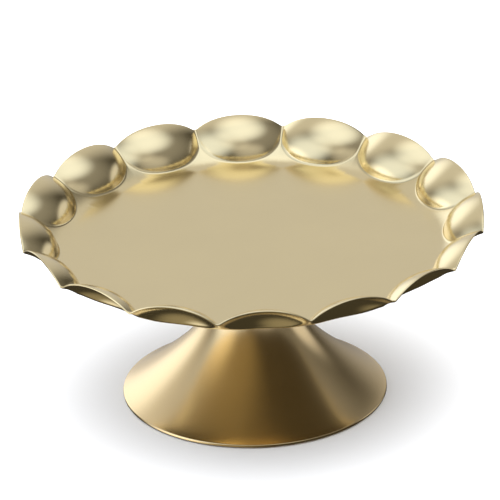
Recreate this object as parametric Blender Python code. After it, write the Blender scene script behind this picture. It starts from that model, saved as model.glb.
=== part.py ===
"""Cake stand with a petal-rimmed tray on a trumpet pedestal.

The tray is one pressed sheet: a flat floor, a shallow flared wall, and a ring of
domed petals whose outer edges arch between low cusps. A plate and a threaded stud
are welded under it. The stud passes through a seat disc welded on the pedestal, and a
washer, a spring washer and a wing nut clamp the two together from inside.
Units are metres, +Z is up, and the origin is on the table under the centre.
"""

import math

import bmesh
import bpy
from mathutils import Matrix

# Driving dimensions
GAP = 0.0003                 # air left between pieces that touch
SHEET = 0.0010               # wall of the tray and of the pedestal
FOOT_LIFT = 0.0008           # pedestal hem above the table

PETALS = 16
CUSP_RADIUS = 0.1270         # where neighbouring petals meet at the rim
RIM_DIP = 0.0009             # the rim pulls in by this in the middle of a petal
DOME_CENTRE_RADIUS = 0.1367  # each petal is part of a flattened dome with this middle
DOME_BASE_Z = 0.0889
DOME_REACH = 0.0316          # half its size along the radius, along the rim, and its height
DOME_BREADTH = 0.0340
DOME_RISE = 0.0215
FLOOR_Z = 0.0887             # upper face of the tray's floor
WALL_FOOT_RADIUS = 0.1054    # where the wall between the petals starts to rise
FLARE_SLOPE = 0.594          # rise over run of that wall
FLOOR_MARGIN = 0.0010        # flat floor kept inside the petals
PETAL_COLUMNS = 10           # strips across one petal
PETAL_ROWS = 6               # strips from the floor crease to the rim

PLATE_RADIUS = 0.0300
PLATE_THICKNESS = 0.0015
GASKET_OUTER = 0.0250
GASKET_INNER = 0.0110
GASKET_THICKNESS = 0.0010

SEAT_RADIUS = 0.0262         # outer radius of the pedestal's open top and of its disc
SEAT_THICKNESS = 0.0015
STUD_HOLE_RADIUS = 0.0036
NECK_RADIUS = 0.0216
NECK_Z = 0.0580
FOOT_RADIUS = 0.0725
HEM_HEIGHT = 0.0015
FLANGE_INNER = 0.0655        # inward flange that carries the pads
FLANGE_STEP = 0.0010         # flange sits above the hem's lower edge by this
FLARE_HANDLE_FOOT = (0.0130, math.radians(27.4))    # length, rise angle
FLARE_HANDLE_NECK = 0.0183
NECK_HANDLE_TOP = 0.0100

STUD_RADIUS = 0.0030
STUD_LENGTH = 0.0200
STUD_COLLAR_RADIUS = 0.0060
STUD_COLLAR_THICKNESS = 0.0008
WASHER_OUTER = 0.0090
WASHER_INNER = 0.0034
WASHER_THICKNESS = 0.0016
SPRING_OUTER = 0.0059
SPRING_SPLIT = math.radians(14.0)
NUT_HUB_RADIUS = 0.0060
NUT_HUB_TIP_RADIUS = 0.0048
NUT_HEIGHT = 0.0080
NUT_BORE_RADIUS = 0.0033
WING_REACH = 0.0140
WING_THICKNESS = 0.0020
WING_DROP = 0.0048           # how far a wing's tip hangs below the hub

PAD_COUNT = 4
PAD_RADIUS = 0.0026
PAD_THICKNESS = 0.0015
PAD_CIRCLE = 0.0685

# Heights worked out from the stack, from the tray down
PLATE_TOP = FLOOR_Z - SHEET - GAP
GASKET_TOP = PLATE_TOP - PLATE_THICKNESS - GAP
SEAT_TOP = GASKET_TOP - GASKET_THICKNESS - GAP
PEDESTAL_TOP = SEAT_TOP - SEAT_THICKNESS - GAP
WASHER_TOP = PEDESTAL_TOP
SPRING_TOP = WASHER_TOP - WASHER_THICKNESS - GAP
NUT_TOP = SPRING_TOP - WASHER_THICKNESS - GAP

HALF_PETAL = math.pi / PETALS


def material(name, colour, roughness, metallic):
    """A Principled material with one colour and finish."""
    made = bpy.data.materials.new(name)
    made.use_nodes = True
    shader = made.node_tree.nodes["Principled BSDF"]
    shader.inputs["Base Color"].default_value = (*colour, 1.0)
    shader.inputs["Roughness"].default_value = roughness
    shader.inputs["Metallic"].default_value = metallic
    return made


def add_object(name, bm, finish, sharp_degrees=30.0):
    """Turn a bmesh into a named object with its material and smooth shading."""
    bmesh.ops.remove_doubles(bm, verts=bm.verts, dist=1e-6)
    bmesh.ops.recalc_face_normals(bm, faces=bm.faces)
    mesh = bpy.data.meshes.new(name)
    bm.to_mesh(mesh)
    bm.free()
    mesh.shade_smooth()
    mesh.set_sharp_from_angle(angle=math.radians(sharp_degrees))
    mesh.materials.append(finish)
    made = bpy.data.objects.new(name, mesh)
    bpy.context.scene.collection.objects.link(made)
    return made


def revolve(outline, steps, sweep=2.0 * math.pi):
    """Spin a closed outline of (radius, height) points about the Z axis."""
    bm = bmesh.new()
    ring = [bm.verts.new((radius, 0.0, height)) for radius, height in outline]
    if sweep < 2.0 * math.pi:
        bm.faces.new(ring)
        spun = list(bm.faces) + list(bm.edges) + list(bm.verts)
    else:
        edges = [bm.edges.new((ring[i - 1], ring[i])) for i in range(len(ring))]
        spun = ring + edges
    bmesh.ops.spin(bm, geom=spun, cent=(0, 0, 0), axis=(0, 0, 1), angle=sweep, steps=steps,
                   use_merge=sweep >= 2.0 * math.pi)
    return bm


def arc(centre, radius, start, end, count):
    """Points on a circle of the outline plane, from one angle to another in degrees."""
    points = []
    for i in range(count + 1):
        angle = math.radians(start + (end - start) * i / count)
        points.append((centre[0] + radius * math.cos(angle), centre[1] + radius * math.sin(angle)))
    return points


def bezier(a, b, c, d, count):
    """Points along a cubic curve, without its first point."""
    points = []
    for i in range(1, count + 1):
        t = i / count
        s = 1.0 - t
        weights = (s ** 3, 3 * s * s * t, 3 * s * t * t, t ** 3)
        points.append(tuple(sum(w * p[k] for w, p in zip(weights, (a, b, c, d))) for k in (0, 1)))
    return points


def inset(points, distance):
    """Move an open outline to its right by a distance, point by point."""
    moved = []
    for i, (x, z) in enumerate(points):
        before = points[max(i - 1, 0)]
        after = points[min(i + 1, len(points) - 1)]
        run = (after[0] - before[0], after[1] - before[1])
        length = math.hypot(*run)
        moved.append((x + distance * run[1] / length, z - distance * run[0] / length))
    return moved


def dome_height(radius, angle):
    """Upper face of a petal at a plan radius and an angle from its middle."""
    along = (radius * math.cos(angle) - DOME_CENTRE_RADIUS) / DOME_REACH
    across = radius * math.sin(angle) / DOME_BREADTH
    inside = 1.0 - along ** 2 - across ** 2
    return DOME_BASE_Z + DOME_RISE * math.sqrt(inside) if inside > 0.0 else 0.0


def wall_height(radius):
    """Upper face of the floor and of the flared wall."""
    return FLOOR_Z + FLARE_SLOPE * max(radius - WALL_FOOT_RADIUS, 0.0)


def crease_radius(angle):
    """Plan radius where the flared wall meets the petal, found by halving a span."""
    low, high = DOME_CENTRE_RADIUS - DOME_REACH, CUSP_RADIUS
    for _ in range(40):
        middle = 0.5 * (low + high)
        if dome_height(middle, angle) < wall_height(middle):
            low = middle
        else:
            high = middle
    return 0.5 * (low + high)


def make_tray(finish):
    """The pressed sheet: rings of points from the centre to the rim, then its thickness."""
    bm = bmesh.new()
    start = DOME_CENTRE_RADIUS - DOME_REACH - FLOOR_MARGIN
    centre = bm.verts.new((0.0, 0.0, FLOOR_Z))
    columns = []
    for step in range(PETALS * PETAL_COLUMNS):
        turn = 2.0 * HALF_PETAL * step / PETAL_COLUMNS
        angle = (turn + HALF_PETAL) % (2.0 * HALF_PETAL) - HALF_PETAL
        crease = crease_radius(angle)
        rim = CUSP_RADIUS - RIM_DIP * math.cos(0.5 * PETALS * angle) ** 2
        column = [(start, FLOOR_Z), (crease, wall_height(crease))]
        for row in range(1, PETAL_ROWS + 1):
            radius = crease + (rim - crease) * (row / PETAL_ROWS) ** 2
            column.append((radius, dome_height(radius, angle)))
        columns.append([bm.verts.new((r * math.sin(turn), -r * math.cos(turn), z)) for r, z in column])
    for i, column in enumerate(columns):
        after = columns[(i + 1) % len(columns)]
        bm.faces.new((centre, column[0], after[0]))
        for j in range(len(column) - 1):
            bm.faces.new((column[j], column[j + 1], after[j + 1], after[j]))
    tray = add_object("tray", bm, finish, 22.0)
    thick = tray.modifiers.new("sheet", 'SOLIDIFY')
    thick.thickness = SHEET
    thick.offset = -1.0
    thick.use_even_offset = True
    return tray


def pedestal_outline():
    """Closed outline of the spun pedestal: outside down, hem and flange, inside up."""
    bottom = FOOT_LIFT
    edge = (FOOT_RADIUS, bottom + HEM_HEIGHT)
    reach, rise = FLARE_HANDLE_FOOT
    leave = (edge[0] - reach * math.cos(rise), edge[1] + reach * math.sin(rise))
    neck = (NECK_RADIUS, NECK_Z)
    outside = [(SEAT_RADIUS, PEDESTAL_TOP)]
    outside += bezier(outside[0], (SEAT_RADIUS, PEDESTAL_TOP - NECK_HANDLE_TOP),
                      (NECK_RADIUS, NECK_Z + NECK_HANDLE_TOP), neck, 5)
    outside += bezier(neck, (NECK_RADIUS, NECK_Z - FLARE_HANDLE_NECK), leave, edge, 12)
    flange_z = bottom + FLANGE_STEP
    inside = [point for point in inset(outside, SHEET) if point[1] > flange_z + 2.0 * SHEET]
    inside[0] = (SEAT_RADIUS - SHEET, PEDESTAL_TOP)
    last = inside[-1]
    corner = last[0] + (last[1] - flange_z - SHEET) / math.tan(rise)
    hem = [(FOOT_RADIUS, bottom), (FOOT_RADIUS - SHEET, bottom), (FOOT_RADIUS - SHEET, flange_z),
           (FLANGE_INNER, flange_z), (FLANGE_INNER, flange_z + SHEET), (corner, flange_z + SHEET)]
    return outside + hem + inside[::-1]


def ring_outline(inner, outer, top, thickness, chamfer):
    """Outline of a flat ring with its outer corners chamfered."""
    bottom = top - thickness
    return [(inner, top), (outer - chamfer, top), (outer, top - chamfer), (outer, bottom + chamfer),
            (outer - chamfer, bottom), (inner, bottom)]


def make_stud(finish):
    """Threaded stud with the collar that is welded to the plate."""
    top = GASKET_TOP
    tip = top - STUD_LENGTH
    collar = top - STUD_COLLAR_THICKNESS
    lead = 0.0006
    outline = [(0.0, top), (STUD_COLLAR_RADIUS, top), (STUD_COLLAR_RADIUS, collar), (STUD_RADIUS, collar),
               (STUD_RADIUS, tip + lead), (STUD_RADIUS - lead, tip), (0.0, tip)]
    return add_object("mount_stud", revolve(outline, 32), finish)


def make_wing_nut(finish):
    """Hub with a clear bore, joined to two rounded wings that hang down and out."""
    bottom = NUT_TOP - NUT_HEIGHT
    round_off = 0.0006
    outline = [(NUT_BORE_RADIUS, NUT_TOP), (NUT_HUB_RADIUS - round_off, NUT_TOP),
               (NUT_HUB_RADIUS, NUT_TOP - round_off), (NUT_HUB_TIP_RADIUS, bottom + round_off),
               (NUT_HUB_TIP_RADIUS - round_off, bottom), (NUT_BORE_RADIUS, bottom)]
    hub = add_object("wing_nut", revolve(outline, 40), finish)
    tip_radius = 0.0036
    tip_centre = (WING_REACH - tip_radius, bottom + tip_radius - WING_DROP)
    root = 0.5 * (NUT_HUB_RADIUS + NUT_BORE_RADIUS)
    profile = [(root, NUT_TOP - 0.0012)] + arc(tip_centre, tip_radius, 60.0, -150.0, 12)
    profile += [(root, bottom + 0.0006)]
    for side in (1.0, -1.0):
        bm = bmesh.new()
        face = bm.faces.new([bm.verts.new((side * x, -0.5 * WING_THICKNESS, z)) for x, z in profile])
        grown = bmesh.ops.extrude_face_region(bm, geom=[face])
        moved = [item for item in grown["geom"] if isinstance(item, bmesh.types.BMVert)]
        bmesh.ops.translate(bm, verts=moved, vec=(0.0, WING_THICKNESS, 0.0))
        wing = add_object("wing_tool", bm, finish)
        wing.hide_render = True
        wing.display_type = 'WIRE'
        join = hub.modifiers.new("wing", 'BOOLEAN')
        join.operation = 'UNION'
        join.solver = 'EXACT'
        join.object = wing
    return hub


def make_pads(finish):
    """Rubber pads under the flange, with a slightly domed lower edge."""
    outline = [(0.0, PAD_THICKNESS), (PAD_RADIUS, PAD_THICKNESS), (PAD_RADIUS, 0.0005),
               (PAD_RADIUS - 0.0005, 0.0), (0.0, 0.0)]
    for i in range(PAD_COUNT):
        turn = math.pi / PAD_COUNT + 2.0 * math.pi * i / PAD_COUNT
        bm = revolve(outline, 24)
        place = Matrix.Translation((PAD_CIRCLE * math.cos(turn), PAD_CIRCLE * math.sin(turn), 0.0))
        pad = add_object(f"foot_pad_{i + 1}", bm, finish)
        pad.matrix_world = place


def main():
    for old in list(bpy.data.objects):
        bpy.data.objects.remove(old, do_unlink=True)
    gold = material("satin_gold", (0.62, 0.50, 0.27), 0.28, 1.0)
    gold_foot = material("satin_gold_foot", (0.60, 0.47, 0.24), 0.30, 1.0)
    zinc = material("zinc_steel", (0.62, 0.63, 0.64), 0.35, 1.0)
    silicone = material("clear_silicone", (0.80, 0.80, 0.76), 0.55, 0.0)
    rubber = material("black_rubber", (0.03, 0.03, 0.03), 0.75, 0.0)

    make_tray(gold)
    plate = ring_outline(0.0, PLATE_RADIUS, PLATE_TOP, PLATE_THICKNESS, 0.0004)
    add_object("mount_plate", revolve(plate, 64), gold)
    make_stud(zinc)
    gasket = ring_outline(GASKET_INNER, GASKET_OUTER, GASKET_TOP, GASKET_THICKNESS, 0.0002)
    add_object("seat_gasket", revolve(gasket, 64), silicone)
    seat = ring_outline(STUD_HOLE_RADIUS, SEAT_RADIUS, SEAT_TOP, SEAT_THICKNESS, 0.0004)
    add_object("seat_disc", revolve(seat, 64), gold_foot)
    add_object("pedestal", revolve(pedestal_outline(), 60), gold_foot)
    washer = ring_outline(WASHER_INNER, WASHER_OUTER, WASHER_TOP, WASHER_THICKNESS, 0.0003)
    add_object("flat_washer", revolve(washer, 48), zinc)
    spring = ring_outline(WASHER_INNER, SPRING_OUTER, SPRING_TOP, WASHER_THICKNESS, 0.0002)
    add_object("spring_washer", revolve(spring, 40, 2.0 * math.pi - SPRING_SPLIT), zinc)
    make_wing_nut(zinc)
    make_pads(rubber)


main()
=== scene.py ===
import math

import bpy
import numpy as np
from bpy.props import FloatProperty, FloatVectorProperty, IntProperty, PointerProperty
from mathutils import Matrix, Vector


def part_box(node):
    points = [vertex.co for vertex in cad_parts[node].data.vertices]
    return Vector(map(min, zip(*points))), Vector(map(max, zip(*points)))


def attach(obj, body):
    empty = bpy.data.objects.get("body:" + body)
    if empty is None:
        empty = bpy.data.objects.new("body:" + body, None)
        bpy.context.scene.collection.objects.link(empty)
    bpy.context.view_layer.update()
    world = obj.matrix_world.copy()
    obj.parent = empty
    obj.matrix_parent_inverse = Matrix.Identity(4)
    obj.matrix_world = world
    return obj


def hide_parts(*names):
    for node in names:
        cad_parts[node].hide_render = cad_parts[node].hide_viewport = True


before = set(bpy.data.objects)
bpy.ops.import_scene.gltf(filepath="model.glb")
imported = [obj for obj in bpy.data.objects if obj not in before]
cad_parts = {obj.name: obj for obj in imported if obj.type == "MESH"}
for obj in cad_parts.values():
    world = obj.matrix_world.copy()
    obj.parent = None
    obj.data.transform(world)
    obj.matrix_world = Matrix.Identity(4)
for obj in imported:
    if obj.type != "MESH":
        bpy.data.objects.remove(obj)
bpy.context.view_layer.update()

bl_info = {
    "name": "Petal Cake Stand",
    "version": (1, 0, 0),
    "blender": (4, 5, 0),
    "location": "View3D > Sidebar > Cake Stand",
    "description": "Models the visible surfaces of a petal-rimmed cake stand and its studio",
    "category": "Add Mesh",
}

STAND = "stand"
NUT = "wing_nut"

# Heights and radii that come from the frame
TRAY_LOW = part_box("tray")[0]
PLATE_LOW, PLATE_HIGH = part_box("mount_plate")
STUD_LOW, STUD_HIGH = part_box("mount_stud")
GASKET_LOW, GASKET_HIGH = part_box("seat_gasket")
SEAT_LOW, SEAT_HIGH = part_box("seat_disc")
FOOT_LOW, FOOT_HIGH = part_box("pedestal")
WASHER_LOW, WASHER_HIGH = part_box("flat_washer")
SPRING_LOW, SPRING_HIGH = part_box("spring_washer")
NUT_LOW, NUT_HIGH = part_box("wing_nut")
PADS = ("foot_pad_1", "foot_pad_2", "foot_pad_3", "foot_pad_4")
PAD_LOW, PAD_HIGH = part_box(PADS[0])

# How finely the pieces are made: points round the axis, rows along a bend, steps in an arc
TRAY_COLUMNS = 44           # across one petal
TRAY_CROWDING = 0.65        # how far the columns crowd towards the cusps, from 0 to 1
PEDESTAL_SIDES = 192
PLATE_SIDES = 256
DISC_SIDES = 128
HARDWARE_SIDES = 96
SPRING_SIDES = 180          # a whole number of them fits the split
STUD_SIDES = 48
PAD_SIDES = 48
CORNER_STEPS = 4
FLOOR_RINGS = (0.012, 0.040, 0.070)     # radii of the tray's inner rings
PROFILE_START = 0.090       # radius from which a profile is walked over the floor and up a petal
PROFILE_STEP = 0.00015
PROFILE_LIMIT = 600         # most steps in one walk
PROFILE_PAST = 0.001        # a walk ends this far past the rim
PROBE = 0.00002             # distance over which the slope of a face is measured
BEND_ZONE = 0.0022          # half the length of the closely spaced rows at a crease
FLOOR_ROWS, BEND_ROWS, PETAL_ROWS = 8, 13, 22
RIM_ANGLES = (22.5, 45.0, 67.5, 90.0, 112.5, 135.0, 157.5)      # points round the rolled rim
NECK_ROWS, FLARE_ROWS = 16, 44
WELD_ROWS = 22
THREAD_ROW = 0.000125       # height of one row of the stud's thread
THREAD_FADE = 0.0012        # length over which the thread runs out at the collar
CASTING_CELL = 0.00018      # size of the cells that melt the nut's hub and wings together
CASTING_PASSES = 8          # smoothing passes that round its fillets
NO_HEM = -1.0               # a hem height below everything, for a piece without a rubbed hem

# Small rounded edges, and the cup in a pad's sole as radius and depth
GASKET_ROUND, HUB_ROUND, COLLAR_ROUND, STUD_CHAMFER = 0.0004, 0.0004, 0.0002, 0.0006
PAD_TOP, PAD_SOLE = 0.0002, 0.0005
PAD_CUP = ((0.0013, 0.0), (0.0011, 0.00005), (0.0009, 0.0002), (0.0004, 0.00025))

# Camera: where it stands round and above the stand, its tilt, and distances in tray radii
CAMERA_AZIMUTH, CAMERA_ELEVATION, CAMERA_ROLL = (math.radians(a) for a in (-2.56, 25.47, -1.42))
CAMERA_DISTANCE = 28.92
CAMERA_AIM_RIGHT, CAMERA_AIM_HEIGHT = -0.0074, 0.6616
CAMERA_SENSOR = 36.0
CAMERA_LENS = 13.478 * CAMERA_SENSOR

# Floor and the wide lamp above it
FLOOR_SIZE = 30.0
LAMP_SIZE, LAMP_HEIGHT, LAMP_POWER = 5.0, 2.5, 220.0

# Tints of the soft light: cool lamps, white reflectors, and the warmer glow off the table
COOL = (0.90, 1.0, 1.17)
WHITE = (1.0, 1.0, 1.02)
WARM = (1.0, 0.88, 0.62)

# Soft light round the stand: name, azimuth from the front towards the right, elevation,
# where it starts to fade, where it ends (all in degrees), strength and tint
SOFT_LIGHTS = (
    ("overhead", 90.0, 87.0, 2.0, 38.0, 0.94, COOL),
    ("left", -61.0, 29.0, 2.0, 50.0, 1.03, COOL),
    ("low_left", -80.0, -14.0, 2.0, 43.0, 1.08, WHITE),
    ("back_left", -149.0, 15.0, 2.0, 26.0, 0.75, COOL),
    ("back", -163.0, 25.0, 28.0, 60.0, 0.60, WHITE),
    ("right", 113.0, 0.0, 17.0, 26.0, 0.70, WHITE),
    ("high_right", 54.0, 60.0, 2.0, 70.0, 0.24, WHITE),
    ("high_front", -6.0, 50.0, 2.0, 26.0, 0.22, WHITE),
    ("front", 17.0, 19.0, 2.0, 35.0, 0.38, WHITE),
    ("low_front", -50.0, -43.0, 15.0, 48.0, 0.24, WARM),
    ("table", 0.0, -75.0, 20.0, 75.0, 0.015, WARM),
)
AMBIENT = 0.04              # warm light from everywhere


# ---------------------------------------------------------------- sizes and colours

class TraySizes(bpy.types.PropertyGroup):
    """Sizes of the pressed tray."""

    petals: IntProperty(name="Petals", description="Petals round the rim", default=16, min=6)
    cusp_radius: FloatProperty(
        name="Cusp radius", description="Radius at which neighbouring petals meet at the rim",
        default=0.1270, unit='LENGTH')
    rim_dip: FloatProperty(
        name="Rim dip", description="How far the rim pulls in at the middle of a petal",
        default=0.0009, unit='LENGTH')
    petal_centre: FloatProperty(
        name="Petal centre", description="Distance from the axis of the middle of a petal's dome",
        default=0.1367, unit='LENGTH')
    petal_base: FloatProperty(
        name="Petal base", description="Height of the middle of a petal's dome",
        default=0.0889, unit='LENGTH')
    petal_reach: FloatProperty(
        name="Petal reach", description="Half the dome's size along the radius",
        default=0.0316, unit='LENGTH')
    petal_breadth: FloatProperty(
        name="Petal breadth", description="Half the dome's size along the rim",
        default=0.0340, unit='LENGTH')
    petal_rise: FloatProperty(
        name="Petal rise", description="Height of the dome above its middle",
        default=0.0215, unit='LENGTH')
    sheet: FloatProperty(
        name="Sheet", description="Thickness of the pressed sheet", default=0.0010, unit='LENGTH')
    wall_foot: FloatProperty(
        name="Wall foot", description="Radius at which the wall between the petals starts to rise",
        default=0.1054, unit='LENGTH')
    wall_slope: FloatProperty(
        name="Wall slope", description="Rise over run of the wall between the petals",
        default=0.594)
    wall_bend: FloatProperty(
        name="Wall bend", description="Half the width of the bend from floor to wall",
        default=0.0050, unit='LENGTH')
    crease: FloatProperty(
        name="Crease", description="How widely the press rounds a crease", default=0.0010,
        unit='LENGTH')


class PedestalSizes(bpy.types.PropertyGroup):
    """Sizes of the spun pedestal."""

    neck_radius: FloatProperty(
        name="Neck radius", description="Outer radius at the narrowest place",
        default=0.0216, unit='LENGTH')
    neck_height: FloatProperty(
        name="Neck height", description="Height of the narrowest place",
        default=0.0580, unit='LENGTH')
    foot_rise: FloatProperty(
        name="Foot rise", description="Angle at which the flare leaves the hem",
        default=math.radians(27.4), subtype='ANGLE')
    foot_pull: FloatProperty(
        name="Foot pull", description="How far the flare keeps the foot's angle", default=0.0130,
        unit='LENGTH')
    flare_pull: FloatProperty(
        name="Flare pull", description="How far the flare stays upright below the neck",
        default=0.0183, unit='LENGTH')
    top_pull: FloatProperty(
        name="Top pull", description="How far the neck and the top stay upright towards each other",
        default=0.0100, unit='LENGTH')
    hem_height: FloatProperty(
        name="Hem height", description="Upright band at the foot", default=0.0015, unit='LENGTH')
    flange_radius: FloatProperty(
        name="Flange radius", description="Inner radius of the flange that carries the pads",
        default=0.0655, unit='LENGTH')
    flange_step: FloatProperty(
        name="Flange step", description="Height of the flange above the hem's lower edge",
        default=0.0010, unit='LENGTH')
    hem_round: FloatProperty(
        name="Hem rounding", description="Radius of the hem's edges", default=0.0005, unit='LENGTH')


class FastenerSizes(bpy.types.PropertyGroup):
    """Sizes of the hidden fastening under the tray."""

    plate_welds: IntProperty(
        name="Spot welds", description="Spot welds round the mount plate", default=8, min=3)
    weld_circle: FloatProperty(
        name="Weld circle", description="Radius of the circle of spot welds", default=0.0277,
        unit='LENGTH')
    weld_radius: FloatProperty(
        name="Weld radius", description="Radius of one spot weld's dent", default=0.0016,
        unit='LENGTH')
    weld_depth: FloatProperty(
        name="Weld depth", description="Depth of one spot weld's dent", default=0.00022,
        unit='LENGTH')
    edge_round: FloatProperty(
        name="Edge rounding", description="Radius of the punched discs' and rings' edges",
        default=0.0003, unit='LENGTH')
    collar_radius: FloatProperty(
        name="Collar radius", description="Radius of the stud's welded collar", default=0.0060,
        unit='LENGTH')
    collar_height: FloatProperty(
        name="Collar height", description="Thickness of the stud's welded collar", default=0.0008,
        unit='LENGTH')
    stud_radius: FloatProperty(
        name="Stud radius", description="Radius over the stud's thread", default=0.0030, unit='LENGTH')
    thread_pitch: FloatProperty(
        name="Thread pitch", description="Rise of the thread in one turn", default=0.0010,
        unit='LENGTH')
    thread_depth: FloatProperty(
        name="Thread depth", description="Depth of the thread's groove", default=0.0005, unit='LENGTH')
    gasket_bore: FloatProperty(
        name="Gasket bore", description="Inner radius of the gasket", default=0.0110, unit='LENGTH')
    seat_bore: FloatProperty(
        name="Seat bore", description="Radius of the stud's hole in the seat disc", default=0.0036,
        unit='LENGTH')
    washer_bore: FloatProperty(
        name="Washer bore", description="Inner radius of both washers", default=0.0034, unit='LENGTH')
    spring_gap: FloatProperty(
        name="Spring gap", description="Angle of the spring washer's split",
        default=math.radians(14.0), subtype='ANGLE')
    nut_bore: FloatProperty(
        name="Nut bore", description="Radius of the wing nut's bore", default=0.0033, unit='LENGTH')
    hub_radius: FloatProperty(
        name="Hub radius", description="Radius of the wing nut's hub at its seat", default=0.0060,
        unit='LENGTH')
    hub_tip_radius: FloatProperty(
        name="Hub tip radius", description="Radius of the wing nut's hub at its free end",
        default=0.0048, unit='LENGTH')
    wing_shoulder: FloatProperty(
        name="Wing shoulder", description="Depth below the hub's seat at which a wing starts",
        default=0.0012, unit='LENGTH')
    wing_lift: FloatProperty(
        name="Wing lift", description="Height above the hub's free end at which a wing ends",
        default=0.0006, unit='LENGTH')
    wing_thickness: FloatProperty(
        name="Wing thickness", description="Thickness of a wing", default=0.0020, unit='LENGTH')
    wing_drop: FloatProperty(
        name="Wing drop", description="How far the wings reach past the hub", default=0.0048,
        unit='LENGTH')
    wing_tip: FloatProperty(
        name="Wing tip", description="Radius of a wing's rounded end", default=0.0036, unit='LENGTH')


class FinishColours(bpy.types.PropertyGroup):
    """Colours of the finishes."""

    tray_gold: FloatVectorProperty(
        name="Tray gold", description="Plating of the tray", default=(0.88, 0.74, 0.44),
        subtype='COLOR', min=0.0, max=1.0)
    foot_gold: FloatVectorProperty(
        name="Pedestal gold", description="Plating of the pedestal", default=(0.94, 0.73, 0.41),
        subtype='COLOR', min=0.0, max=1.0)
    zinc: FloatVectorProperty(
        name="Zinc", description="Plating of the fasteners", default=(0.62, 0.63, 0.64),
        subtype='COLOR', min=0.0, max=1.0)
    silicone: FloatVectorProperty(
        name="Silicone", description="Milky silicone of the gasket", default=(0.78, 0.78, 0.73),
        subtype='COLOR', min=0.0, max=1.0)
    rubber: FloatVectorProperty(
        name="Rubber", description="Rubber of the foot pads", default=(0.035, 0.034, 0.033),
        subtype='COLOR', min=0.0, max=1.0)
    floor: FloatVectorProperty(
        name="Floor", description="Studio floor", default=(0.90, 0.90, 0.90),
        subtype='COLOR', min=0.0, max=1.0)


# ---------------------------------------------------------------- shader nodes

class Value:
    """An output of a shader node that takes part in sums."""

    def __init__(self, tree, socket):
        self.tree = tree
        self.socket = socket

    def _math(self, operation, first, second):
        node = self.tree.nodes.new("ShaderNodeMath")
        node.operation = operation
        for place, given in zip(node.inputs, (first, second)):
            if isinstance(given, Value):
                self.tree.links.new(given.socket, place)
            else:
                place.default_value = given
        return Value(self.tree, node.outputs[0])

    def __add__(self, other):
        return self._math('ADD', self, other)

    __radd__ = __add__

    def __sub__(self, other):
        return self._math('SUBTRACT', self, other)

    def __rsub__(self, other):
        return self._math('SUBTRACT', other, self)

    def __mul__(self, other):
        return self._math('MULTIPLY', self, other)

    __rmul__ = __mul__


class Nodes:
    """A node tree that is being wired."""

    def __init__(self, tree):
        self.tree = tree

    def add(self, kind, settings=None, inputs=None, output=0):
        """Add a node: its settings first, then the values or links of its sockets."""
        node = self.tree.nodes.new(kind)
        for key, given in (settings or {}).items():
            setattr(node, key, given)
        for key, given in (inputs or {}).items():
            if isinstance(given, Value):
                self.tree.links.new(given.socket, node.inputs[key])
            else:
                node.inputs[key].default_value = given
        return Value(self.tree, node.outputs[output])

    def into(self, node, key, given):
        """Link a value to a socket of a node that is there already."""
        self.tree.links.new(given.socket, node.inputs[key])


class Finish(Nodes):
    """A material that is being made, with its Principled shader."""

    def __init__(self, name, colour, roughness, metallic=0.0):
        self.material = bpy.data.materials.new(name)
        self.material.use_nodes = True
        super().__init__(self.material.node_tree)
        self.shader = self.tree.nodes["Principled BSDF"]
        self.shader.inputs["Base Color"].default_value = (*colour, 1.0)
        self.shader.inputs["Roughness"].default_value = roughness
        self.shader.inputs["Metallic"].default_value = metallic
        self.place = self.add("ShaderNodeTexCoord", output=3)
        self.height = self.add("ShaderNodeSeparateXYZ", inputs={0: self.place}, output=2)
        level = self.add("ShaderNodeVectorMath", {"operation": 'MULTIPLY'},
                         {0: self.place, 1: (1.0, 1.0, 0.0)})
        self.radius = self.add("ShaderNodeVectorMath", {"operation": 'LENGTH'}, {0: level},
                               output=1)

    def noise(self, scale, detail=2.0, over=None):
        """Noise from 0 to 1 over the piece, or over other coordinates."""
        return self.add("ShaderNodeTexNoise", inputs={"Vector": over or self.place,
                                                      "Scale": scale, "Detail": detail})

    def turned(self):
        """Coordinates that are the same all the way round the axis: radius and height."""
        return self.add("ShaderNodeCombineXYZ", inputs={0: self.radius, 1: self.height})

    def between(self, value, low, high):
        """A smooth step from 0 at a low value to 1 at a high one."""
        return self.add("ShaderNodeMapRange", {"interpolation_type": 'SMOOTHSTEP'},
                        {"Value": value, "From Min": low, "From Max": high})

    def mix(self, factor, low, high):
        """Colour between two colours by a factor."""
        low, high = (c if isinstance(c, Value) else (*c, 1.0) for c in (low, high))
        return self.add("ShaderNodeMix", {"data_type": 'RGBA'}, {0: factor, 6: low, 7: high},
                        output=2)

    def feed(self, colour, roughness, height, distance):
        """Feed the shader a colour, a roughness, and a relief of 0 to 1 times a distance."""
        self.into(self.shader, "Base Color", colour)
        self.into(self.shader, "Roughness", roughness)
        relief = self.add("ShaderNodeBump", inputs={"Height": height, "Distance": distance})
        self.into(self.shader, "Normal", relief)
        return self.material


def tone(colour, factor):
    """A colour made lighter or darker."""
    return tuple(min(1.0, part * factor) for part in colour)


def pressed_gold(colour, rim):
    """Satin gold on pressed sheet: faint clouds, fine grain, and a rubbed rim."""
    coat = Finish("pressed_satin_gold", colour, 0.17, 1.0)
    cloud = coat.noise(30.0, 3.0)
    grain = coat.noise(2400.0, 2.0)
    rubbed = coat.between(coat.radius, rim - 0.0016, rim - 0.0002) * coat.noise(420.0, 3.0)
    plated = coat.mix(cloud * 0.75 + grain * 0.25, tone(colour, 0.965), tone(colour, 1.035))
    worn = coat.mix(rubbed * 0.7, plated, tone(colour, 1.1))
    smooth = 0.150 + cloud * 0.045 + grain * 0.025 - rubbed * 0.05
    return coat.feed(worn, smooth, grain * 0.3 + coat.noise(210.0, 1.0) * 0.7, 0.000006)


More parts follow.
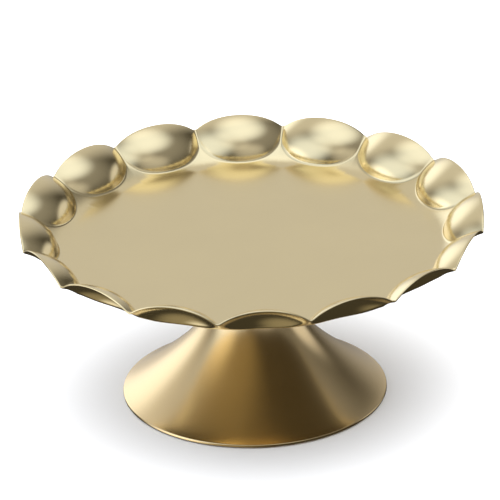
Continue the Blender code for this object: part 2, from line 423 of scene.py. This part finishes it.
def spun_gold(colour, hem_top, name="spun_satin_gold"):
    """Satin gold on spun sheet: fine turning lines, faint clouds, and a rubbed hem."""
    coat = Finish(name, colour, 0.22, 1.0)
    cloud = coat.noise(36.0, 3.0)
    grain = coat.noise(2600.0, 2.0)
    lines = coat.noise(1500.0, 2.0, coat.turned())
    hem = 1.0 - coat.between(coat.height, hem_top, hem_top + 0.0008)
    rubbed = hem * coat.noise(380.0, 3.0)
    plated = coat.mix(cloud * 0.7 + lines * 0.3, tone(colour, 0.96), tone(colour, 1.04))
    worn = coat.mix(rubbed * 0.7, plated, tone(colour, 1.08))
    smooth = 0.185 + cloud * 0.045 + lines * 0.03 - rubbed * 0.05
    relief = lines * 0.5 + grain * 0.2 + coat.noise(170.0, 1.0) * 0.3
    return coat.feed(worn, smooth, relief, 0.000005)


def bright_zinc(colour):
    """Bright zinc plating: small cloudy patches, handling marks and a faintly pitted surface."""
    coat = Finish("bright_zinc", colour, 0.32, 1.0)
    patches = coat.add("ShaderNodeTexVoronoi", inputs={"Vector": coat.place, "Scale": 900.0})
    cloud = coat.noise(260.0, 4.0)
    dull = coat.between(coat.noise(520.0, 5.0), 0.55, 0.75)
    plated = coat.mix(cloud * 0.6 + patches * 0.4, tone(colour, 0.86), tone(colour, 1.12))
    aged = coat.mix(dull * 0.45, plated, (0.40, 0.40, 0.38))
    smooth = 0.24 + cloud * 0.12 + dull * 0.16
    return coat.feed(aged, smooth, coat.noise(3200.0, 3.0), 0.000012)


def zinc_finish(colours):
    """The one zinc finish that all fasteners share."""
    return bpy.data.materials.get("bright_zinc") or bright_zinc(colours.zinc)


def milky_silicone(colour):
    """Milky silicone: soft clouds, dust specks and a faint moulding grain."""
    coat = Finish("milky_silicone", colour, 0.48)
    coat.shader.inputs["Subsurface Weight"].default_value = 0.25
    coat.shader.inputs["Subsurface Scale"].default_value = 0.002
    cloud = coat.noise(180.0, 3.0)
    specks = coat.between(coat.noise(2400.0, 1.0), 0.70, 0.78)
    tint = coat.mix(cloud, tone(colour, 0.92), tone(colour, 1.06))
    dusty = coat.mix(specks * 0.5, tint, (0.50, 0.48, 0.43))
    return coat.feed(dusty, 0.42 + cloud * 0.12, coat.noise(1700.0, 3.0), 0.00002)


def matt_rubber(colour):
    """Matt black rubber: moulding grain, grey scuffs and dust where it stands."""
    coat = Finish("matt_rubber", colour, 0.75)
    grain = coat.noise(2800.0, 3.0)
    scuffs = (coat.between(coat.noise(900.0, 4.0), 0.52, 0.7)
              * (1.0 - coat.between(coat.height, 0.0001, 0.0007)))
    tint = coat.mix(grain, tone(colour, 0.8), tone(colour, 1.3))
    dusty = coat.mix(scuffs * 0.6, tint, (0.17, 0.16, 0.15))
    return coat.feed(dusty, 0.66 + grain * 0.14, grain, 0.00003)


# ---------------------------------------------------------------- modelling helpers

def clear_selection():
    """Leave edit mode and deselect everything."""
    if bpy.context.object and bpy.context.object.mode != 'OBJECT':
        bpy.ops.object.mode_set(mode='OBJECT')
    bpy.ops.object.select_all(action='DESELECT')


def pick(piece):
    """Make a piece the only selected and active object."""
    clear_selection()
    piece.select_set(True)
    bpy.context.view_layer.objects.active = piece


def keep(piece, name, node, material, body=STAND, smooth=32.0):
    """Put the place of a piece into its mesh, shade it up to an angle, and replace its node."""
    pick(piece)
    bpy.ops.object.transform_apply(location=True, rotation=True, scale=True)
    bpy.ops.object.shade_smooth_by_angle(angle=math.radians(smooth))
    piece.name = name
    piece.data.name = name
    piece.data.materials.clear()
    piece.data.materials.append(material)
    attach(piece, body)
    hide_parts(node)


def turn(outline, sides, solid=False):
    """Turn an outline of (radius, height) points; a solid one is closed on the axis."""
    clear_selection()
    radius, height = outline[0]
    bpy.ops.mesh.primitive_circle_add(vertices=sides, radius=radius, location=(0.0, 0.0, height),
                                      fill_type='TRIFAN' if solid else 'NOTHING')
    piece = bpy.context.object
    bpy.ops.object.transform_apply(location=True)
    bpy.ops.object.mode_set(mode='EDIT')
    bpy.ops.mesh.select_mode(type='EDGE')
    bpy.ops.mesh.select_all(action='DESELECT' if solid else 'SELECT')
    if solid:
        bpy.ops.mesh.select_non_manifold()
    for (r0, z0), (r1, z1) in zip(outline, outline[1:] + ([] if solid else outline[:1])):
        bpy.ops.mesh.extrude_edges_move(TRANSFORM_OT_translate={"value": (0.0, 0.0, z1 - z0)})
        bpy.ops.transform.resize(value=(r1 / r0, r1 / r0, 1.0), center_override=(0.0, 0.0, z1))
    if solid:
        bpy.ops.mesh.extrude_edges_move()
        bpy.ops.mesh.merge(type='CENTER')
    bpy.ops.mesh.select_all(action='SELECT')
    bpy.ops.mesh.remove_doubles(threshold=0.000002)
    bpy.ops.mesh.normals_make_consistent(inside=False)
    bpy.ops.object.mode_set(mode='OBJECT')
    return piece


def arc(centre, radius, start, end, count):
    """Points on a circle of an outline, between two angles in degrees."""
    angles = np.radians(np.linspace(start, end, count + 1))
    return [(centre[0] + radius * math.cos(a), centre[1] + radius * math.sin(a)) for a in angles]


def corner(radius, height, soft, start, steps=CORNER_STEPS):
    """A rounded edge of an outline, a quarter turn clockwise from an angle in degrees."""
    return arc((radius, height), soft, start, start - 90.0, steps)


def disc(outer, top, bottom, soft):
    """Open outline of a round disc with rounded edges."""
    return (corner(outer - soft, top - soft, soft, 90.0)
            + corner(outer - soft, bottom + soft, soft, 0.0))


def ring(inner, outer, top, bottom, soft):
    """Closed outline of a flat ring with rounded edges."""
    return (disc(outer, top, bottom, soft)
            + corner(inner + soft, bottom + soft, soft, 270.0)
            + corner(inner + soft, top - soft, soft, 180.0))


def points_of(piece):
    """The places of a piece's points, one row each."""
    flat = np.empty(len(piece.data.vertices) * 3)
    piece.data.vertices.foreach_get("co", flat)
    return flat.reshape(-1, 3)


def move_points(piece, points):
    """Put a piece's points at new places."""
    piece.data.vertices.foreach_set("co", points.ravel())
    piece.data.update()


def apply_modifier(piece, kind, **settings):
    """Add a modifier with its settings and apply it."""
    pick(piece)
    made = piece.modifiers.new(kind.lower(), kind)
    for key, given in settings.items():
        setattr(made, key, given)
    bpy.ops.object.modifier_apply(modifier=made.name)


def bezier(a, b, c, d, count):
    """Points along a cubic curve, without its first point."""
    steps = np.linspace(0.0, 1.0, count + 1)[1:, None]
    back = 1.0 - steps
    a, b, c, d = (np.array(p) for p in (a, b, c, d))
    points = (back ** 3 * a + 3 * back ** 2 * steps * b + 3 * back * steps ** 2 * c
              + steps ** 3 * d)
    return [tuple(point) for point in points]


def inset(points, distance):
    """Move an open outline to its right by a distance."""
    line = np.array(points)
    run = np.gradient(line, axis=0)
    run /= np.linalg.norm(run, axis=1)[:, None]
    return [tuple(p) for p in line + distance * np.stack([run[:, 1], -run[:, 0]], 1)]


# ---------------------------------------------------------------- tray

class PressedTray:
    """The shape that the press gives the tray's upper face, as a distance from that face."""

    def __init__(self, sizes):
        self.sizes = sizes
        self.floor = TRAY_LOW.z + sizes.sheet
        self.half = math.pi / sizes.petals

    def wall(self, radius, z):
        """Distance above the floor, the bend and the flared wall."""
        bend, slope = self.sizes.wall_bend, self.sizes.wall_slope
        run = radius - self.sizes.wall_foot
        curved = (run + bend) ** 2 / (4.0 * bend)
        eased = np.where(run < -bend, 0.0, np.where(run > bend, run, curved))
        steep = slope * np.clip((run + bend) / (2.0 * bend), 0.0, 1.0)
        return (z - self.floor - slope * eased) / np.sqrt(1.0 + steep ** 2)

    def dome(self, radius, angle, z):
        """Distance above one petal's dome, at an angle from the petal's middle."""
        sizes = self.sizes
        place = np.stack([radius * np.cos(angle) - sizes.petal_centre, radius * np.sin(angle),
                          z - sizes.petal_base])
        axes = np.array([sizes.petal_reach, sizes.petal_breadth, sizes.petal_rise])[:, None]
        near = np.linalg.norm(place / axes, axis=0)
        return near * (near - 1.0) / np.linalg.norm(place / axes ** 2, axis=0)

    def rounded(self, a, b, radius):
        """The nearer of two faces, with the crease between them rounded."""
        return (np.maximum(radius, np.minimum(a, b))
                - np.hypot(np.maximum(radius - a, 0.0), np.maximum(radius - b, 0.0)))

    def petals(self, radius, angle, z):
        """Distance above a petal and its neighbour."""
        beside = 2.0 * self.half - np.abs(angle)
        return self.rounded(self.dome(radius, angle, z), self.dome(radius, beside, z),
                            0.8 * self.sizes.crease)

    def above(self, radius, angle, z):
        """Distance above the whole upper face."""
        return self.rounded(self.wall(radius, z), self.petals(radius, angle, z), self.sizes.crease)

    def slope(self, radius, angle, z):
        """Unit normal of the upper face along the radius, round the rim and upwards."""
        turned = PROBE / radius
        folded = [self.fold(angle + turned), self.fold(angle - turned)]
        normal = np.stack([
            self.above(radius + PROBE, angle, z) - self.above(radius - PROBE, angle, z),
            self.above(radius, folded[0], z) - self.above(radius, folded[1], z),
            self.above(radius, angle, z + PROBE) - self.above(radius, angle, z - PROBE)])
        return normal / np.linalg.norm(normal, axis=0)

    def fold(self, angle):
        """An angle as it is seen from the middle of its own petal."""
        return (angle + self.half) % (2.0 * self.half) - self.half

    def profiles(self, angle, end):
        """Walk over the floor and up the petal to an end radius: every step's radius and height."""
        radius, z = np.full_like(angle, PROFILE_START), np.full_like(angle, self.floor)
        walked = [(radius, z)]
        while np.any(radius < end) and len(walked) < PROFILE_LIMIT:
            for _ in range(3):
                along, _, up = self.slope(radius, angle, z)
                size = np.hypot(along, up)
                away = self.above(radius, angle, z) / size
                radius, z = radius - away * along / size, z - away * up / size
            walked.append((radius, z))
            along, _, up = self.slope(radius, angle, z)
            size = np.hypot(along, up)
            radius, z = radius + PROFILE_STEP * up / size, z - PROFILE_STEP * along / size
        return np.array([w[0] for w in walked]), np.array([w[1] for w in walked])


def tray_rows(shape, angle, rim):
    """Radius and height of every row of the upper face, close together where it bends."""
    radius, z = shape.profiles(angle, rim + PROFILE_PAST)
    petal = np.array([shape.petals(r, angle, h) < shape.wall(r, h) for r, h in zip(radius, z)])
    rows_r, rows_z = [], []
    for column in range(len(angle)):
        r, h = radius[:, column], z[:, column]
        run = np.concatenate([[0.0], np.cumsum(np.hypot(np.diff(r), np.diff(h)))])
        end = np.interp(rim[column], r, run)
        bend = run[np.argmax(petal[:, column])]
        low, high = bend - BEND_ZONE, bend + BEND_ZONE
        stops = np.concatenate([
            np.linspace(0.0, low, FLOOR_ROWS + 1)[:-1],
            bend + BEND_ZONE * np.linspace(-1.0, 1.0, BEND_ROWS),
            high + (end - high) * np.linspace(0.0, 1.0, PETAL_ROWS + 1)[1:]])
        rows_r.append(np.interp(stops, run, r))
        rows_z.append(np.interp(stops, run, h))
    inner = np.array(FLOOR_RINGS)[:, None] * np.ones_like(angle)
    return (np.concatenate([inner, np.array(rows_r).T]),
            np.concatenate([np.full_like(inner, shape.floor), np.array(rows_z).T]))


def tray_surface(shape):
    """Points of the whole sheet, row after row: upper face, rounded rim and lower face."""
    sizes = shape.sizes
    step = np.linspace(-1.0, 1.0, TRAY_COLUMNS + 1)[:-1]
    crowded = np.sin(0.5 * math.pi * step)
    eased = shape.half * ((1.0 - TRAY_CROWDING) * step + TRAY_CROWDING * crowded)
    rim = (sizes.cusp_radius - 0.5 * sizes.sheet
           - sizes.rim_dip * np.cos(0.5 * sizes.petals * eased) ** 2)
    radius, z = tray_rows(shape, eased, rim)
    normal = np.stack([shape.slope(r, eased, h) for r, h in zip(radius, z)])
    normal[:len(FLOOR_RINGS)] = np.array([0.0, 0.0, 1.0])[None, :, None]
    upper = np.stack([radius, np.zeros_like(radius), z], 1)
    lower = upper - sizes.sheet * normal
    face = normal[-1]
    out = np.array([1.0, 0.0, 0.0])[:, None] - face * face[0]
    out /= np.linalg.norm(out, axis=0)
    middle = upper[-1] - 0.5 * sizes.sheet * face
    bead = [middle + 0.5 * sizes.sheet * (math.cos(a) * face + math.sin(a) * out)
            for a in np.radians(RIM_ANGLES)]
    rows = np.concatenate([upper, np.array(bead), lower[::-1]])
    points = []
    for petal in range(sizes.petals):
        turned = 2.0 * shape.half * petal + eased
        cos, sin = np.cos(turned), np.sin(turned)
        along, across, up = rows[:, 0], rows[:, 1], rows[:, 2]
        points.append(np.stack([along * sin + across * cos, -along * cos + across * sin, up], -1))
    return np.concatenate(points, 1)


class CAKESTAND_OT_tray(bpy.types.Operator):
    """Press the tray from a flat round blank: floor, flared wall, domed petals and rounded rim"""

    bl_idname = "cakestand.tray"
    bl_label = "Tray"

    def execute(self, context):
        sizes = context.scene.cakestand_tray
        shape = PressedTray(sizes)
        pressed = tray_surface(shape)
        rows, sides = pressed.shape[:2]
        # the blank's rows lie further out one after another, then back in along the lower face
        out = np.linspace(FLOOR_RINGS[0], sizes.cusp_radius, rows - rows // 2)
        blank = [(r, shape.floor) for r in out]
        blank += [(r, shape.floor - sizes.sheet) for r in out[::-1]]
        blank = blank[:rows]
        piece = turn(blank, sides, solid=True)
        flat = points_of(piece)
        away = np.hypot(flat[:, 0], flat[:, 1])
        turned = np.arctan2(flat[:, 0], -flat[:, 1]) + shape.half
        side = np.round(turned * sides / (2.0 * math.pi)).astype(int) % sides
        ring_r, ring_z = np.array(blank).T
        miss = np.abs(ring_r[:, None] - away) + 10.0 * np.abs(ring_z[:, None] - flat[:, 2])
        ring = np.argmin(miss, axis=0)
        off_axis = away > 0.5 * FLOOR_RINGS[0]
        flat[off_axis] = pressed[ring[off_axis], side[off_axis]]
        move_points(piece, flat)
        material = pressed_gold(context.scene.cakestand_colours.tray_gold, sizes.cusp_radius)
        keep(piece, "pressed_tray", "tray", material, smooth=60.0)
        return {'FINISHED'}


# ---------------------------------------------------------------- pedestal

class CAKESTAND_OT_pedestal(bpy.types.Operator):
    """Spin the pedestal: open top, neck, flare, rounded hem and inward flange"""

    bl_idname = "cakestand.pedestal"
    bl_label = "Pedestal"

    def execute(self, context):
        sizes = context.scene.cakestand_pedestal
        sheet = context.scene.cakestand_tray.sheet
        top, foot, bottom = FOOT_HIGH.z, FOOT_HIGH.x, FOOT_LOW.z
        seat = SEAT_HIGH.x
        edge = (foot, bottom + sizes.hem_height)
        leave = (edge[0] - sizes.foot_pull * math.cos(sizes.foot_rise),
                 edge[1] + sizes.foot_pull * math.sin(sizes.foot_rise))
        neck = (sizes.neck_radius, sizes.neck_height)
        outside = [(seat, top)]
        outside += bezier(outside[0], (seat, top - sizes.top_pull),
                          (neck[0], neck[1] + sizes.top_pull), neck, NECK_ROWS)
        outside += bezier(neck, (neck[0], neck[1] - sizes.flare_pull), leave, edge, FLARE_ROWS)
        flange = bottom + sizes.flange_step
        inside = [p for p in inset(outside, sheet) if p[1] > flange + 2.0 * sheet]
        inside[0] = (seat - sheet, top)
        inner_edge = inside[-1][0] + (inside[-1][1] - flange - sheet) / math.tan(sizes.foot_rise)
        bead = sizes.hem_round
        shoulder = arc((foot - bead, edge[1] - 0.6 * bead), bead, 62.0, 0.0, 5)
        sole = arc((foot - bead, bottom + bead), bead, 0.0, -180.0, 8)
        hem = shoulder + sole + [(foot - 2.0 * bead, flange), (sizes.flange_radius, flange),
                                 (sizes.flange_radius, flange + sheet),
                                 (inner_edge, flange + sheet)]
        outline = outside[:-1] + hem + inside[::-1]
        material = spun_gold(context.scene.cakestand_colours.foot_gold, edge[1])
        keep(turn(outline, PEDESTAL_SIDES), "spun_pedestal", "pedestal", material)
        return {'FINISHED'}


# ---------------------------------------------------------------- fastening

class CAKESTAND_OT_mount(bpy.types.Operator):
    """Make the mount plate with its spot welds, and the threaded stud with its welded collar"""

    bl_idname = "cakestand.mount"
    bl_label = "Mount plate and stud"

    def execute(self, context):
        sizes = context.scene.cakestand_fasteners
        colours = context.scene.cakestand_colours
        self.plate(sizes, colours)
        self.stud(sizes, colours)
        return {'FINISHED'}

    def plate(self, sizes, colours):
        """A flat disc whose underside is dented by a ring of spot welds."""
        inner = sizes.weld_circle - sizes.weld_radius
        outer = sizes.weld_circle + sizes.weld_radius
        outline = disc(PLATE_HIGH.x, PLATE_HIGH.z, PLATE_LOW.z, sizes.edge_round)
        outline += [(r, PLATE_LOW.z) for r in np.linspace(outer, inner, WELD_ROWS)]
        plate = turn(outline, PLATE_SIDES, solid=True)
        points = points_of(plate)
        under = points[:, 2] < PLATE_LOW.z + 0.00001
        for weld in range(sizes.plate_welds):
            angle = 2.0 * math.pi * weld / sizes.plate_welds
            away = np.hypot(points[:, 0] - sizes.weld_circle * math.cos(angle),
                            points[:, 1] - sizes.weld_circle * math.sin(angle))
            near = np.clip(1.0 - away / sizes.weld_radius, 0.0, 1.0)
            dent = sizes.weld_depth * near ** 2 * (3.0 - 2.0 * near)
            points[:, 2] += np.where(under, dent, 0.0)
        move_points(plate, points)
        keep(plate, "welded_mount_plate", "mount_plate",
             spun_gold(colours.tray_gold, NO_HEM, "plate_satin_gold"))

    def stud(self, sizes, colours):
        """A shank with a cut thread and a chamfered tip, below its collar."""
        top, tip = STUD_HIGH.z, STUD_LOW.z
        collar = top - sizes.collar_height
        outline = disc(sizes.collar_radius, top, collar, COLLAR_ROUND)
        steps = round((collar - tip) / THREAD_ROW)
        outline += [(sizes.stud_radius, z) for z in np.linspace(collar, tip, steps)]
        stud = turn(outline, STUD_SIDES, solid=True)
        points = points_of(stud)
        x, y, z = points.T
        away = np.hypot(x, y)
        shank = (away > 0.5 * sizes.stud_radius) & (away < 1.02 * sizes.stud_radius)
        climb = (z / sizes.thread_pitch - np.arctan2(y, x) / (2.0 * math.pi)) % 1.0
        groove = np.clip(1.6 - 4.0 * np.abs(climb - 0.5), 0.0, 1.0)
        fade = np.clip((collar - z) / THREAD_FADE, 0.0, 1.0)
        radius = sizes.stud_radius - sizes.thread_depth * groove * fade
        radius = np.minimum(radius, sizes.stud_radius - STUD_CHAMFER + (z - tip))
        scale = np.where(shank, radius / np.maximum(away, 1e-9), 1.0)
        points[:, 0] *= scale
        points[:, 1] *= scale
        move_points(stud, points)
        keep(stud, "threaded_stud", "mount_stud", zinc_finish(colours),
             smooth=40.0)


class CAKESTAND_OT_seat(bpy.types.Operator):
    """Make the silicone gasket and the pedestal's punched seat disc"""

    bl_idname = "cakestand.seat"
    bl_label = "Gasket and seat disc"

    def execute(self, context):
        sizes = context.scene.cakestand_fasteners
        colours = context.scene.cakestand_colours
        gasket = turn(ring(sizes.gasket_bore, GASKET_HIGH.x, GASKET_HIGH.z, GASKET_LOW.z,
                           GASKET_ROUND), DISC_SIDES)
        keep(gasket, "silicone_gasket", "seat_gasket",
             milky_silicone(colours.silicone))
        seat = turn(ring(sizes.seat_bore, SEAT_HIGH.x, SEAT_HIGH.z, SEAT_LOW.z,
                         sizes.edge_round), DISC_SIDES)
        keep(seat, "punched_seat_disc", "seat_disc",
             spun_gold(colours.foot_gold, NO_HEM, "seat_satin_gold"))
        return {'FINISHED'}


class CAKESTAND_OT_washers(bpy.types.Operator):
    """Make the flat washer and the split spring washer"""

    bl_idname = "cakestand.washers"
    bl_label = "Washers"

    def execute(self, context):
        sizes = context.scene.cakestand_fasteners
        zinc = zinc_finish(context.scene.cakestand_colours)
        flat = turn(ring(sizes.washer_bore, WASHER_HIGH.x, WASHER_HIGH.z, WASHER_LOW.z,
                         sizes.edge_round), HARDWARE_SIDES)
        keep(flat, "plain_washer", "flat_washer", zinc)
        spring = turn(ring(sizes.washer_bore, SPRING_HIGH.x, SPRING_HIGH.z, SPRING_LOW.z,
                           sizes.edge_round), SPRING_SIDES)
        bpy.ops.object.mode_set(mode='EDIT')
        bpy.ops.mesh.select_mode(type='FACE')
        bpy.ops.mesh.select_all(action='DESELECT')
        bpy.ops.object.mode_set(mode='OBJECT')
        for face in spring.data.polygons:
            angle = math.atan2(face.center.y, face.center.x) % (2.0 * math.pi)
            face.select = angle > 2.0 * math.pi - sizes.spring_gap
        bpy.ops.object.mode_set(mode='EDIT')
        bpy.ops.mesh.delete(type='FACE')
        bpy.ops.mesh.select_mode(type='EDGE')
        bpy.ops.mesh.select_all(action='DESELECT')
        bpy.ops.mesh.select_non_manifold()
        bpy.ops.mesh.fill_holes(sides=0)
        bpy.ops.mesh.select_all(action='SELECT')
        bpy.ops.mesh.normals_make_consistent(inside=False)
        bpy.ops.object.mode_set(mode='OBJECT')
        keep(spring, "split_washer", "spring_washer", zinc)
        return {'FINISHED'}


class CAKESTAND_OT_wing_nut(bpy.types.Operator):
    """Cast the wing nut: a bored hub that runs into two rounded wings"""

    bl_idname = "cakestand.wing_nut"
    bl_label = "Wing nut"

    def execute(self, context):
        sizes = context.scene.cakestand_fasteners
        zinc = zinc_finish(context.scene.cakestand_colours)
        top, low = NUT_HIGH.z, NUT_LOW.z + sizes.wing_drop
        soft, bore = HUB_ROUND, sizes.nut_bore
        hub = turn(corner(sizes.hub_radius - soft, top - soft, soft, 90.0)
                   + corner(sizes.hub_tip_radius - soft, low + soft, soft, 0.0)
                   + [(bore + soft, low), (bore, low + soft), (bore, top - soft), (bore + soft, top)],
                   HARDWARE_SIDES)
        root = 0.5 * (sizes.hub_radius + bore)
        tip = (NUT_HIGH.x - sizes.wing_tip, NUT_LOW.z + sizes.wing_tip)
        profile = [(root, top - sizes.wing_shoulder)] + arc(tip, sizes.wing_tip, 60.0, -150.0, 20)
        profile += [(root, low + sizes.wing_lift)]
        parts = [hub]
        for side in (1.0, -1.0):
            clear_selection()
            bpy.ops.mesh.primitive_circle_add(vertices=len(profile), radius=sizes.wing_tip,
                                              fill_type='NGON')
            wing = bpy.context.object
            move_points(wing, np.array([(side * x, -0.5 * sizes.wing_thickness, z)
                                        for x, z in profile]))
            bpy.ops.object.mode_set(mode='EDIT')
            bpy.ops.mesh.select_all(action='SELECT')
            bpy.ops.mesh.extrude_region_move(
                TRANSFORM_OT_translate={"value": (0.0, sizes.wing_thickness, 0.0)})
            bpy.ops.mesh.select_all(action='SELECT')
            bpy.ops.mesh.normals_make_consistent(inside=False)
            bpy.ops.object.mode_set(mode='OBJECT')
            parts.append(wing)
        clear_selection()
        for part in parts:
            part.select_set(True)
        bpy.context.view_layer.objects.active = hub
        bpy.ops.object.join()
        apply_modifier(hub, 'REMESH', mode='VOXEL', voxel_size=CASTING_CELL)
        apply_modifier(hub, 'SMOOTH', factor=0.5, iterations=CASTING_PASSES)
        keep(hub, "cast_wing_nut", "wing_nut", zinc, body=NUT, smooth=60.0)
        return {'FINISHED'}


class CAKESTAND_OT_pads(bpy.types.Operator):
    """Mould one foot pad with a rounded edge and a shallow cup, and copy it under the hem"""

    bl_idname = "cakestand.pads"
    bl_label = "Foot pads"

    def execute(self, context):
        rubber = matt_rubber(context.scene.cakestand_colours.rubber)
        middle = 0.5 * (PAD_LOW + PAD_HIGH)
        radius, top, low = 0.5 * (PAD_HIGH.x - PAD_LOW.x), PAD_HIGH.z, PAD_LOW.z
        outline = corner(radius - PAD_TOP, top - PAD_TOP, PAD_TOP, 90.0)
        outline += corner(radius - PAD_SOLE, low + PAD_SOLE, PAD_SOLE, 0.0, 2 * CORNER_STEPS)
        outline += [(across, low + depth) for across, depth in PAD_CUP]
        first = turn(outline, PAD_SIDES, solid=True)
        first.location = (middle.x, middle.y, 0.0)
        keep(first, "rubber_pad_1", PADS[0], rubber)
        for number, node in enumerate(PADS[1:], 2):
            low_corner, high_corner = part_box(node)
            copy = first.copy()
            copy.data = first.data.copy()
            context.scene.collection.objects.link(copy)
            copy.location = 0.5 * (low_corner + high_corner) - middle
            keep(copy, f"rubber_pad_{number}", node, rubber)
        return {'FINISHED'}


# ---------------------------------------------------------------- studio

def toward(azimuth, elevation):
    """The direction of a place round the stand: azimuth from the front to the right."""
    level = math.cos(elevation)
    return Vector((level * math.sin(azimuth), -level * math.cos(azimuth), math.sin(elevation)))


class CAKESTAND_OT_studio(bpy.types.Operator):
    """Set the floor, the soft lights and the camera"""

    bl_idname = "cakestand.studio"
    bl_label = "Studio"

    def execute(self, context):
        self.floor(context)
        self.floor_light(context)
        self.soft_lights(context)
        self.camera(context, context.scene.cakestand_tray)
        context.scene.view_settings.view_transform = 'Standard'
        return {'FINISHED'}

    def floor(self, context):
        """A wide pale floor that polished metal doesn't show."""
        clear_selection()
        bpy.ops.mesh.primitive_plane_add(size=FLOOR_SIZE, location=(0.0, 0.0, 0.0))
        floor = context.object
        floor.name = "studio_floor"
        colour = context.scene.cakestand_colours.floor
        matt = Finish("studio_floor", colour, 0.8)
        cloud = matt.noise(3.0, 2.0)
        tint = matt.mix(cloud, tone(colour, 0.995), tone(colour, 1.005))
        floor.data.materials.append(matt.feed(tint, 0.78 + cloud * 0.04, cloud, 0.0001))
        floor.visible_glossy = False

    def floor_light(self, context):
        """A wide lamp overhead that keeps the floor pale and that polished metal doesn't show."""
        light = bpy.data.lights.new("floor_light", 'AREA')
        light.size = LAMP_SIZE
        light.energy = LAMP_POWER
        lamp = bpy.data.objects.new("floor_light", light)
        lamp.location = (0.0, 0.0, LAMP_HEIGHT)
        lamp.visible_glossy = False
        context.scene.collection.objects.link(lamp)

    def soft_lights(self, context):
        """Soft light from every side, stronger where the lamps stand."""
        world = bpy.data.worlds.new("studio")
        world.use_nodes = True
        context.scene.world = world
        room = Nodes(world.node_tree)
        way = room.add("ShaderNodeTexCoord")
        light = tone(WARM, AMBIENT)
        for _, azimuth, elevation, fades, ends, strength, tint in SOFT_LIGHTS:
            aim = toward(math.radians(azimuth), math.radians(elevation))
            facing = room.add("ShaderNodeVectorMath", {"operation": 'DOT_PRODUCT'},
                              {0: way, 1: aim}, output=1)
            lit = room.add("ShaderNodeMapRange", {"interpolation_type": 'SMOOTHSTEP'},
                           {"Value": facing, "From Min": math.cos(math.radians(ends)),
                            "From Max": math.cos(math.radians(fades)), "To Max": strength})
            light = room.add("ShaderNodeVectorMath", {"operation": 'MULTIPLY_ADD'},
                             {0: lit, 1: tint, 2: light})
        room.into(world.node_tree.nodes["Background"], "Color", light)

    def camera(self, context, tray):
        """A long lens in front of the stand, a little above it."""
        radius = tray.cusp_radius
        back = toward(CAMERA_AZIMUTH, CAMERA_ELEVATION)
        right = Vector((math.cos(CAMERA_AZIMUTH), math.sin(CAMERA_AZIMUTH), 0.0))
        up = back.cross(right)
        side = math.cos(CAMERA_ROLL) * right + math.sin(CAMERA_ROLL) * up
        head = -math.sin(CAMERA_ROLL) * right + math.cos(CAMERA_ROLL) * up
        aim = (CAMERA_AIM_RIGHT * radius * right
               + Vector((0.0, 0.0, CAMERA_AIM_HEIGHT * radius + FOOT_LOW.z)))
        camera = bpy.data.objects.new("camera", bpy.data.cameras.new("camera"))
        context.scene.collection.objects.link(camera)
        camera.data.sensor_width = CAMERA_SENSOR
        camera.data.lens = CAMERA_LENS
        turned = Matrix((side, head, back)).transposed().to_4x4()
        camera.matrix_world = Matrix.Translation(aim + CAMERA_DISTANCE * radius * back) @ turned
        context.scene.camera = camera


# ---------------------------------------------------------------- panel and registration

class CAKESTAND_PT_panel(bpy.types.Panel):
    """Lists the pieces of the cake stand"""

    bl_label = "Cake Stand"
    bl_idname = "CAKESTAND_PT_panel"
    bl_space_type = 'VIEW_3D'
    bl_region_type = 'UI'
    bl_category = "Cake Stand"

    def draw(self, context):
        for operator in OPERATORS:
            self.layout.operator(operator.bl_idname)


GROUPS = (TraySizes, PedestalSizes, FastenerSizes, FinishColours)
OPERATORS = (CAKESTAND_OT_tray, CAKESTAND_OT_pedestal, CAKESTAND_OT_mount, CAKESTAND_OT_seat,
             CAKESTAND_OT_washers, CAKESTAND_OT_wing_nut, CAKESTAND_OT_pads, CAKESTAND_OT_studio)


def register():
    """Register the classes and hang the groups of sizes on the scene."""
    for group in GROUPS + OPERATORS + (CAKESTAND_PT_panel,):
        bpy.utils.register_class(group)
    bpy.types.Scene.cakestand_tray = PointerProperty(type=TraySizes)
    bpy.types.Scene.cakestand_pedestal = PointerProperty(type=PedestalSizes)
    bpy.types.Scene.cakestand_fasteners = PointerProperty(type=FastenerSizes)
    bpy.types.Scene.cakestand_colours = PointerProperty(type=FinishColours)


def unregister():
    """Undo what register did."""
    del bpy.types.Scene.cakestand_colours
    del bpy.types.Scene.cakestand_fasteners
    del bpy.types.Scene.cakestand_pedestal
    del bpy.types.Scene.cakestand_tray
    for group in reversed(GROUPS + OPERATORS + (CAKESTAND_PT_panel,)):
        bpy.utils.unregister_class(group)


def main():
    """Make every piece in order."""
    register()
    bpy.ops.cakestand.tray()
    bpy.ops.cakestand.pedestal()
    bpy.ops.cakestand.mount()
    bpy.ops.cakestand.seat()
    bpy.ops.cakestand.washers()
    bpy.ops.cakestand.wing_nut()
    bpy.ops.cakestand.pads()
    bpy.ops.cakestand.studio()


if __name__ == "__main__":
    main()
